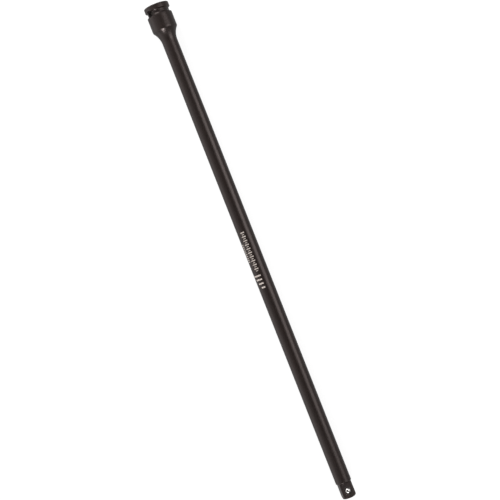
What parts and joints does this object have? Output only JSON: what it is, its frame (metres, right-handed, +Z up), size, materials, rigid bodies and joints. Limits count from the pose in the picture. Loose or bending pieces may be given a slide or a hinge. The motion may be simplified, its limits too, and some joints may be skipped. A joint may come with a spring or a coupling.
{
  "type": "impact extension bar",
  "caption": "Long black impact extension bar: female square socket collar with groove and cross hole, slim round shank, and male drive square with sprung detent ball.",
  "frame": {"origin": "middle of the bar's length, on its axis", "axes": "+X along the bar from the female socket end towards the male drive square, +Z up through the detent ball's flat, +Y to the side"},
  "size_m": [0.381, 0.0186, 0.0186],
  "materials": {
    "black_phosphate_steel": "satin black phosphate with a thin oil film",
    "ball_steel": "polished bearing steel",
    "spring_steel": "drawn wire"
  },
  "bodies": {
    "bar": {"extension_bar": "black_phosphate_steel", "detent_spring": "spring_steel"},
    "ball": {"detent_ball": "ball_steel"}
  },
  "joints": [
    {"name": "detent_ball_press", "type": "slide", "parent": "bar", "child": "ball", "axis": [0, 0, -1], "range_m": [0, 0.00098], "stiffness_N_per_m": 3000, "springref_m": -0.002, "deforming": ["detent_spring"]}
  ]
}
